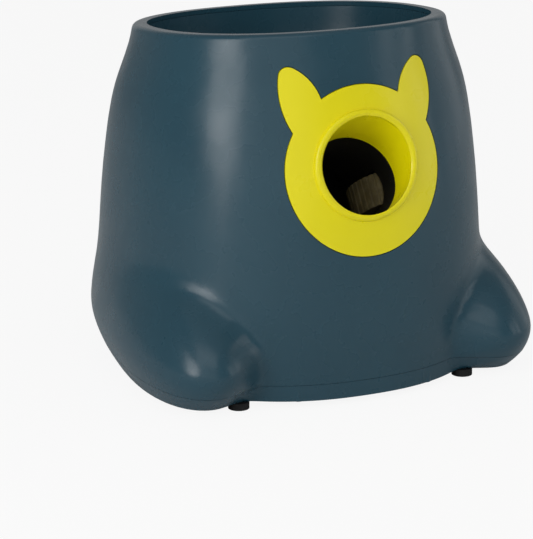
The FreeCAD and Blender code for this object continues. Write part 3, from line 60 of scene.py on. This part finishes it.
BODY_COLOUR = linear(38, 76, 91)
BODY_COLOUR_DEEP = linear(36, 73, 88)
LIME = linear(252, 240, 10)
LIME_DEEP = linear(249, 237, 7)
BLACK = linear(16, 16, 17)
BLACK_WORN = linear(24, 24, 25)
GREY = linear(66, 66, 68)
GREY_WORN = linear(54, 54, 56)
KHAKI = linear(125, 115, 88)
KHAKI_DARK = linear(101, 92, 67)
STEEL = linear(176, 176, 178)
STEEL_WORN = linear(150, 150, 152)
NICKEL = linear(206, 204, 198)
NICKEL_WORN = linear(190, 188, 182)
LAMINATE = linear(22, 90, 52)
LAMINATE_DEEP = linear(14, 74, 42)
JACKET = linear(52, 52, 58)
JACKET_DEEP = linear(38, 38, 42)
LENS = linear(222, 224, 218)
LENS_DEEP = linear(205, 208, 200)


# the band of the noise over which colour and gloss change, and the strength of the fine grain
COLOUR_BAND = (0.35, 0.65)
GLOSS_BAND = (0.3, 0.7)
GRAIN_STRENGTH = 0.4
GRAIN_DETAIL = 2.0
GLOSS_CLOUD = 3


def new_material(name):
    material = bpy.data.materials.new(name)
    material.use_nodes = True
    nodes = material.node_tree.nodes
    nodes.clear()
    output = nodes.new("ShaderNodeOutputMaterial")
    shader = nodes.new("ShaderNodeBsdfPrincipled")
    material.node_tree.links.new(shader.outputs["BSDF"], output.inputs["Surface"])
    return material, shader


def noise(tree, scale, detail=3.0):
    """A noise texture in the object's own metres."""
    coordinates = tree.nodes.new("ShaderNodeTexCoord")
    texture = tree.nodes.new("ShaderNodeTexNoise")
    texture.inputs["Scale"].default_value = scale
    texture.inputs["Detail"].default_value = detail
    tree.links.new(coordinates.outputs["Object"], texture.inputs["Vector"])
    return texture.outputs["Fac"]


def ramp(tree, factor, low, high):
    """Factor mapped to a colour between low and high."""
    node = tree.nodes.new("ShaderNodeValToRGB")
    node.color_ramp.elements[0].position = COLOUR_BAND[0]
    node.color_ramp.elements[0].color = low
    node.color_ramp.elements[1].position = COLOUR_BAND[1]
    node.color_ramp.elements[1].color = high
    tree.links.new(factor, node.inputs["Fac"])
    return node.outputs["Color"]


def spread(tree, factor, low, high):
    """Factor mapped to a number between low and high."""
    node = tree.nodes.new("ShaderNodeMapRange")
    node.inputs["From Min"].default_value = GLOSS_BAND[0]
    node.inputs["From Max"].default_value = GLOSS_BAND[1]
    node.inputs["To Min"].default_value = low
    node.inputs["To Max"].default_value = high
    tree.links.new(factor, node.inputs["Value"])
    return node.outputs["Result"]


def bump(tree, shader, height, distance):
    """A fine grain of the given depth."""
    node = tree.nodes.new("ShaderNodeBump")
    node.inputs["Strength"].default_value = GRAIN_STRENGTH
    node.inputs["Distance"].default_value = distance
    tree.links.new(height, node.inputs["Height"])
    tree.links.new(node.outputs["Normal"], shader.inputs["Normal"])


def moulded(name, low, high, rough, grain=900.0, depth=0.00002, cloud=14.0, metallic=0.0):
    """Moulded plastic, rubber or plain metal: cloudy colour, uneven gloss and a fine grain."""
    material, shader = new_material(name)
    tree = material.node_tree
    tree.links.new(ramp(tree, noise(tree, cloud), low, high), shader.inputs["Base Color"])
    tree.links.new(spread(tree, noise(tree, cloud * GLOSS_CLOUD), *rough), shader.inputs["Roughness"])
    shader.inputs["Metallic"].default_value = metallic
    bump(tree, shader, noise(tree, grain, GRAIN_DETAIL), depth)
    return material


body_plastic = moulded(
    "Body plastic", BODY_COLOUR_DEEP, BODY_COLOUR, (0.25, 0.30), grain=1400.0, depth=0.000002,
)
lime_plastic = moulded("Lime plastic", LIME_DEEP, LIME, (0.26, 0.32), grain=1200.0, depth=0.000006)
black_plastic = moulded("Black plastic", BLACK, BLACK_WORN, (0.45, 0.6))
grey_plastic = moulded("Grey plastic", GREY_WORN, GREY, (0.4, 0.5))
tyre_foam = moulded("Tyre", KHAKI_DARK, KHAKI, (0.8, 0.95), grain=1500.0, depth=0.0002, cloud=90.0)
foot_rubber = moulded("Foot rubber", BLACK, BLACK_WORN, (0.7, 0.85))
steel = moulded("Steel", STEEL_WORN, STEEL, (0.25, 0.4), metallic=1.0, cloud=60.0)
nickel = moulded("Nickel", NICKEL_WORN, NICKEL, (0.15, 0.25), metallic=1.0, cloud=60.0)
laminate = moulded("Circuit board", LAMINATE_DEEP, LAMINATE, (0.3, 0.4), cloud=120.0)
jacket = moulded("Cell jacket", JACKET_DEEP, JACKET, (0.3, 0.4), cloud=40.0)
lens = moulded("Indicator lens", LENS_DEEP, LENS, (0.15, 0.25), cloud=80.0)

FINISHES = {
    "body_plastic": body_plastic,
    "lime_plastic": lime_plastic,
    "black_plastic": black_plastic,
    "grey_plastic": grey_plastic,
    "lens_plastic": lens,
    "tyre_foam": tyre_foam,
    "foot_rubber": foot_rubber,
    "motor_steel": steel,
    "contact_steel": nickel,
    "screw_steel": steel,
    "board_laminate": laminate,
    "cell_jacket": jacket,
}

for part in frame["record"]["subparts"]:
    piece = frame["nodes"][part["node"]]
    piece.data.materials.clear()
    piece.data.materials.append(FINISHES[part["material_slot"]])


# ---------------------------------------------------------------- floor, backdrop, light and camera

FLOOR_SIZE = 30
FLOOR_COLOUR = (0.93, 0.93, 0.93, 1)
FLOOR_ROUGHNESS = 0.9
FLOOR_SPECULAR = 0.2
FLOOR_GLOW = 0.9
WORLD_FILL = 0.24
LAMP_TARGET = Vector((0, 0, 0.15))
LAMP_DISTANCE = 2.2
BACKDROP_DISTANCE = 3.0


def soft_box(name, azimuth, elevation, distance, wide, tall, power):
    """An area lamp that looks at the machine. Azimuth counts from the muzzle's side toward +X."""
    light = bpy.data.lights.new(name, "AREA")
    light.shape = "RECTANGLE"
    light.size = wide
    light.size_y = tall
    light.energy = power
    lamp = bpy.data.objects.new(name, light)
    bpy.context.scene.collection.objects.link(lamp)
    heading = Vector((
        math.sin(math.radians(azimuth)) * math.cos(math.radians(elevation)),
        -math.cos(math.radians(azimuth)) * math.cos(math.radians(elevation)),
        math.sin(math.radians(elevation)),
    ))
    lamp.location = LAMP_TARGET + heading * distance
    facing = heading.to_track_quat("Z", "Y").to_matrix().to_4x4()
    lamp.matrix_world = Matrix.Translation(lamp.location) @ facing


def floor():
    """A pale floor that keeps the shadow; part of it glows toward the camera alone, for a white ground."""
    bpy.ops.mesh.primitive_plane_add(size=FLOOR_SIZE, location=(0, 0, 0))
    plane = bpy.context.object
    plane.name = "Floor"
    material, shader = new_material("Floor")
    tree = material.node_tree
    shader.inputs["Base Color"].default_value = FLOOR_COLOUR
    shader.inputs["Roughness"].default_value = FLOOR_ROUGHNESS
    shader.inputs["Specular IOR Level"].default_value = FLOOR_SPECULAR
    glow = tree.nodes.new("ShaderNodeEmission")
    glow.inputs["Strength"].default_value = 1.0
    path = tree.nodes.new("ShaderNodeLightPath")
    share = tree.nodes.new("ShaderNodeMath")
    share.operation = "MULTIPLY"
    share.inputs[1].default_value = FLOOR_GLOW
    mix = tree.nodes.new("ShaderNodeMixShader")
    tree.links.new(path.outputs["Is Camera Ray"], share.inputs[0])
    tree.links.new(share.outputs[0], mix.inputs["Fac"])
    tree.links.new(shader.outputs["BSDF"], mix.inputs[1])
    tree.links.new(glow.outputs["Emission"], mix.inputs[2])
    tree.links.new(mix.outputs["Shader"], tree.nodes["Material Output"].inputs["Surface"])
    plane.data.materials.append(material)


def world():
    """An even fill, seen as plain white by the camera."""
    scene = bpy.context.scene
    scene.world = bpy.data.worlds.new("Studio")
    scene.world.use_nodes = True
    tree = scene.world.node_tree
    background = tree.nodes["Background"]
    path = tree.nodes.new("ShaderNodeLightPath")
    strength = tree.nodes.new("ShaderNodeMix")
    strength.data_type = "FLOAT"
    strength.inputs[2].default_value = WORLD_FILL
    strength.inputs[3].default_value = 1.0
    tree.links.new(path.outputs["Is Camera Ray"], strength.inputs[0])
    tree.links.new(strength.outputs[0], background.inputs["Strength"])
    background.inputs["Color"].default_value = (1, 1, 1, 1)


def camera():
    data = bpy.data.cameras.new("Camera")
    data.sensor_fit = "VERTICAL"
    data.sensor_height = SENSOR_MM
    data.lens = FOCAL_PX * SENSOR_MM / IMAGE_HEIGHT_PX
    data.clip_end = CAMERA_REACH
    eye = bpy.data.objects.new("Camera", data)
    bpy.context.scene.collection.objects.link(eye)
    right = Vector((math.cos(CAMERA_TURN), -math.sin(CAMERA_TURN), 0))
    away = Vector((math.sin(CAMERA_TURN), math.cos(CAMERA_TURN), 0))
    eye.location = -CAMERA_DISTANCE * away + CAMERA_SHIFT * right + Vector((0, 0, CAMERA_HEIGHT))
    eye.rotation_euler = (math.radians(90) - CAMERA_PITCH, 0, -CAMERA_TURN)
    bpy.context.scene.camera = eye


floor()
world()
camera()
# name, azimuth, elevation, distance, width, height, power
for lamp in (
    ("Key", -64, 20, LAMP_DISTANCE, 1.0, 1.2, 13.0),
    ("Low key", -64, 6, LAMP_DISTANCE, 0.4, 0.8, 1.8),
    ("Front", -24, 15, LAMP_DISTANCE, 1.9, 1.4, 3.8),
    ("High front", -24, 50, LAMP_DISTANCE, 1.8, 1.0, 5.0),
    ("Right strip", 43, 10, LAMP_DISTANCE, 0.2, 1.6, 2.3),
    ("Right edge", 60, 12, LAMP_DISTANCE, 0.3, 1.6, 2.4),
    ("Far right", 82, 12, LAMP_DISTANCE, 0.5, 1.6, 1.1),
    ("Right rear", 100, 10, LAMP_DISTANCE, 0.7, 1.8, 2.1),
    ("Backdrop", 155.5, 5, BACKDROP_DISTANCE, 3.4, 2.4, 5.3),
    ("Top", 0, 80, LAMP_DISTANCE, 2.2, 2.2, 1.8),
):
    soft_box(*lamp)
bpy.context.scene.view_settings.view_transform = "Standard"
